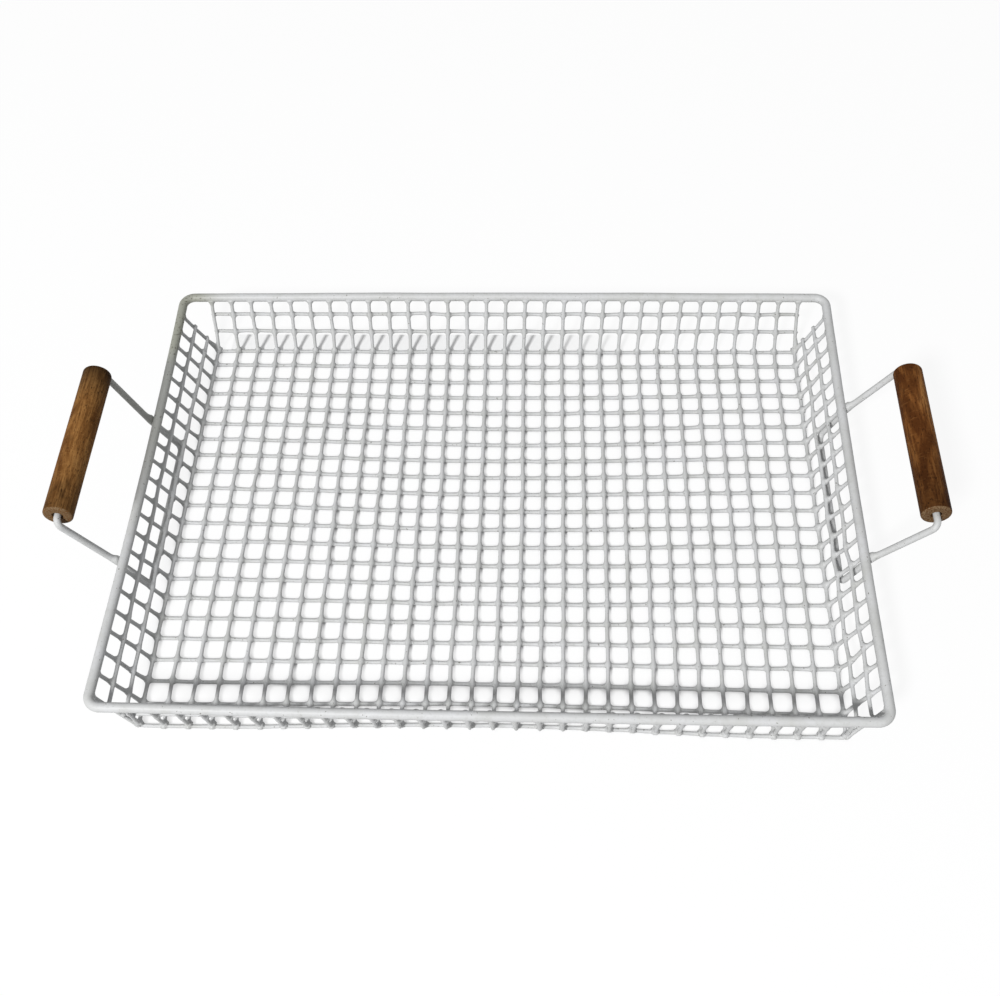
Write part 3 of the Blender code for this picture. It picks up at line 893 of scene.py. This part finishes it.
def wood_material(name, wood):
    """Grain along the grip, open pores, handling marks, tones along its length and end grain."""
    material = bpy.data.materials.new(name)
    n = Nodes(material)
    place, spot = n.object_place()
    along = spot["Y"]
    black = tuple(value * BLACKENED for value in wood.dark)

    def marks(scale, shift, *settings):
        """Noise stretched along the grip, from a place of its own."""
        shift = (wood.offset + shift, wood.offset, shift)
        return n.noise(n.stretched(place, scale, shift), *settings)

    broad = marks((1.0, 0.22, 1.0), 0.0, 105.0, 3.0, 0.55, 0.8)
    streak = marks((1.0, 0.07, 1.0), 0.1, 900.0, 4.0, 0.65, 0.2)
    rubbed = marks((0.35, 1.5, 0.35), 0.2, 520.0, 4.0, 0.7)
    stain = marks((1.0, 0.5, 1.0), 0.3, 75.0, 3.0, 0.6)
    pores = marks((1.0, 0.20, 1.0), 0.4, 1900.0, 2.0, 0.5)
    colour = n.ramp(broad, (0.36, wood.dark), (0.50, wood.middle), (0.64, wood.light))
    colour = n.cover(colour, wood.dark, streak, 0.40, 0.56, 0.80, 0.0)
    colour = n.cover(colour, wood.light, rubbed, 0.56, 0.68, 0.0, wood.scratches)
    colour = n.cover(colour, black, stain, 0.60, 0.72, 0.0, 0.75)
    colour = n.cover(colour, black, pores, 0.60, 0.68, 0.0, 0.85)

    tones = [(index / (len(wood.tones) - 1), grey(tone)) for index, tone in enumerate(wood.tones)]
    lengthwise_tone = n.ramp(n.slope(along, -GRIP_LENGTH / 2, GRIP_LENGTH / 2), *tones)
    colour = n.mix(1.0, colour, lengthwise_tone, "MULTIPLY")

    ends = n.math("GREATER_THAN", n.math("ABSOLUTE", along), GRIP_LENGTH / 2 - END_GRAIN_DEPTH)
    rings = n.noise(place, 1100.0, 3.0, 0.6)
    end_grain = n.ramp(rings, (0.38, wood.dark), (0.50, END_GRAIN), (0.66, PALE_END_GRAIN))
    colour = n.mix(n.product(ends, 0.85), colour, end_grain)

    height = n.math("SUBTRACT", n.math("ADD", streak, rubbed), n.product(pores, 0.7))
    n.set(
        n.tree.nodes["Principled BSDF"],
        Base_Color=colour,
        Roughness=n.math("MULTIPLY_ADD", streak, 0.25, 0.55),
        Specular_IOR_Level=0.07,
        Normal=n.bump(0.6, 0.0004, height),
    )
    return material


def make_coated(name, surfaces, coat, nodes):
    """A coated piece of the tray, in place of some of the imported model's nodes."""
    piece = make_piece(name, surfaces, coat)
    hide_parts(*nodes)
    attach(piece, "tray")


def make_tray():
    coat = coat_material()
    crosses, longs, walls = build_mesh()
    rim = rim_wire()
    weld_to_rim([*crosses, *longs], rim)
    handles = {side: handle_wire(side) for side in (-1, 1)}
    for side, wire in handles.items():
        weld_handle(wire, side, longs, rim)

    nodes = ["front_wall_wires", "back_wall_wires", *[f"cross_wire_{n:02d}" for n in range(2, COLUMNS + 1)]]
    make_coated("coated_cross_wires", [wire_surface(wire, WIRE_SIDES) for wire in crosses], coat, nodes)
    nodes = ["left_wall_wires", "right_wall_wires", *[f"long_wire_{n:02d}" for n in range(2, ROWS + 1)]]
    make_coated("coated_long_wires", [wire_surface(wire, WIRE_SIDES) for wire in longs], coat, nodes)
    for label in ("front", "back", "left", "right"):
        surfaces = [wire_surface(wire, WIRE_SIDES) for wire in walls[label]]
        make_coated(f"coated_{label}_wall_wires", surfaces, coat, [f"{label}_wall_wires"])
    surface = wire_surface(rim, RIM_SIDES, plain_gap=0.0060, bend_gap=0.0008, wave=0.006)
    make_coated("coated_rim_rod", [surface], coat, ["rim_rod"])
    for label, side in (("left", -1), ("right", 1)):
        surface = wire_surface(handles[side], HANDLE_SIDES, plain_gap=0.0030, bend_gap=0.0007, wave=0.008)
        make_coated(f"coated_handle_frame_{label}", [surface], coat, [f"handle_frame_{label}"])


def make_grips():
    for label, side, wood in (("left", -1, LEFT_WOOD), ("right", 1, RIGHT_WOOD)):
        piece = make_grip(f"turned_grip_{label}", side, wood_material(f"{label}_wood_finish", wood))
        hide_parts(f"grip_{label}")
        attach(piece, f"{label}_grip")


# A pinhole fitted to the crossings of the floor: its focal length in pixels of a picture this wide, its
# angles, and its place from the middle of the floor in pitches of the mesh
PICTURE_WIDTH_PX = 1000.0
FOCAL_PX = 1175.6477
YAW = math.radians(-4.7534)
DOWN = math.radians(56.5567)
ROLL = math.radians(-3.4861)
CAMERA_PITCHES = (2.7418, -29.9083, 47.3228)
SENSOR_MM = 36.0


def make_camera():
    middle = Vector((TRAY_X, TRAY_Y, (LONG_WIRE_Z + CROSS_WIRE_Z) / 2))
    place = middle + Vector(CAMERA_PITCHES) * PITCH
    ahead = Vector((math.sin(YAW) * math.cos(DOWN), math.cos(YAW) * math.cos(DOWN), -math.sin(DOWN)))
    level = ahead.cross(Vector((0, 0, 1))).normalized()
    upright = level.cross(ahead)
    across = math.cos(ROLL) * level + math.sin(ROLL) * upright
    above = math.cos(ROLL) * upright - math.sin(ROLL) * level
    data = bpy.data.cameras.new("camera")
    data.sensor_width = SENSOR_MM
    data.lens = FOCAL_PX * SENSOR_MM / PICTURE_WIDTH_PX
    data.clip_start, data.clip_end = 0.01, 50.0
    camera = bpy.data.objects.new("camera", data)
    camera.matrix_world = Matrix((
        (across.x, above.x, -ahead.x, place.x),
        (across.y, above.y, -ahead.y, place.y),
        (across.z, above.z, -ahead.z, place.z),
        (0, 0, 0, 1),
    ))
    bpy.context.scene.collection.objects.link(camera)
    bpy.context.scene.camera = camera


# A wide floor, a hair below the tray
FLOOR_REACH = 12.0
FLOOR_Z = -0.00002

# What the floor gives back to the tray, and what it shows
FLOOR_BOUNCE = 0.32
FLOOR_WHITE = 1.00

# Share of the floor that glows instead of taking shadow: the most, in the open; the least, beside a
# wire; and how much less than that in faint patches round the middle
MOST_GLOW = 0.90
LEAST_GLOW = 0.50
PATCH_DROP = 0.46
BESIDE = 0.0040

# Just behind the back wall most of the glow is gone, and the wall's shadow shows through its lowest
# openings; this fades out to the right
BEHIND_WALL = (TRAY_Y + HALF_DEPTH + 0.0015, TRAY_Y + HALF_DEPTH + 0.0160)
BEHIND_DROP = 0.85
BEHIND_FADE_X = (0.085714, 0.014286)


def floor_material():
    """White ground that keeps the tray's shadow: paint, which takes shadow, mixed with an even glow."""
    material = bpy.data.materials.new("floor_white")
    n = Nodes(material)
    n.tree.nodes.remove(n.tree.nodes["Principled BSDF"])
    rays = n.add("ShaderNodeLightPath").outputs
    seen = n.math("MAXIMUM", rays["Is Camera Ray"], rays["Is Glossy Ray"])
    paint = n.add("ShaderNodeBsdfDiffuse", Color=n.mix(seen, grey(FLOOR_BOUNCE), grey(FLOOR_WHITE)))
    place, spot = n.object_place()
    from_middle = n.add("ShaderNodeVectorMath", {"operation": "LENGTH"}, Vector=place).outputs["Value"]
    patch = n.math("MULTIPLY_ADD", from_middle, -2.2, n.noise(place, 24.0, 2.0, 0.5))
    shaded = n.ramp(patch, (0.18, grey(0.0)), (0.34, grey(1.0)))
    behind = n.product(
        n.math("GREATER_THAN", spot["Y"], BEHIND_WALL[0]),
        n.math("LESS_THAN", spot["Y"], BEHIND_WALL[1]),
        n.math("GREATER_THAN", spot["X"], COLUMN_X[0] + PITCH / 2),
        n.slope(spot["X"], *BEHIND_FADE_X),
    )
    least = n.math("MULTIPLY_ADD", shaded, -PATCH_DROP, LEAST_GLOW)
    beside = n.add("ShaderNodeAmbientOcclusion", {"samples": 6}, Distance=BESIDE).outputs["AO"]
    clear = n.ramp(beside, (0.52, grey(0.0)), (0.86, grey(1.0)))
    clear = n.math("MULTIPLY_ADD", n.math("SUBTRACT", MOST_GLOW, least), clear, least)
    clear = n.product(clear, n.math("SUBTRACT", 1.0, n.product(behind, BEHIND_DROP)))
    glow = n.add("ShaderNodeEmission", Color=grey(1.0), Strength=1.0)
    blend = n.add("ShaderNodeMixShader")
    n.feed(blend.inputs[0], n.product(seen, clear))
    n.feed(blend.inputs[1], paint.outputs[0])
    n.feed(blend.inputs[2], glow.outputs[0])
    n.set(n.tree.nodes["Material Output"], Surface=blend.outputs[0])
    return material


def make_floor():
    mesh = bpy.data.meshes.new("floor")
    corners = [(x * FLOOR_REACH, y * FLOOR_REACH, 0) for x, y in ((-1, -1), (1, -1), (1, 1), (-1, 1))]
    mesh.from_pydata(corners, [], [(0, 1, 2, 3)])
    mesh.materials.append(floor_material())
    floor = bpy.data.objects.new("floor", mesh)
    floor.location.z = FLOOR_Z
    bpy.context.scene.collection.objects.link(floor)


# One lamp high at the front left, aimed at the middle of the tray
KEY_PLACE = (-0.95, -1.90, 2.11)
KEY_SIZE = 0.45
KEY_POWER = 78.0

# The world's level as a light and as a background
WORLD_LIGHT = 0.34
WORLD_SEEN = 1.0
WORLD_COLOUR = (0.98, 0.99, 1.0)


def make_lamp():
    data = bpy.data.lights.new("key", "AREA")
    data.shape = "DISK"
    data.size = KEY_SIZE
    data.energy = KEY_POWER
    lamp = bpy.data.objects.new("key", data)
    lamp.location = KEY_PLACE
    lamp.rotation_euler = (-Vector(KEY_PLACE)).to_track_quat("-Z", "Y").to_euler()
    bpy.context.scene.collection.objects.link(lamp)


def make_world():
    world = bpy.data.worlds.new("studio")
    bpy.context.scene.world = world
    n = Nodes(world)
    rays = n.add("ShaderNodeLightPath").outputs
    seen = n.math("MAXIMUM", rays["Is Camera Ray"], rays["Is Transmission Ray"])
    level = n.add("ShaderNodeMapRange", Value=seen, To_Min=WORLD_LIGHT, To_Max=WORLD_SEEN)
    n.set(n.tree.nodes["Background"], Color=WORLD_COLOUR, Strength=level.outputs["Result"])


make_tray()
make_grips()
make_camera()
make_floor()
make_lamp()
make_world()
bpy.context.scene.view_settings.view_transform = "Standard"
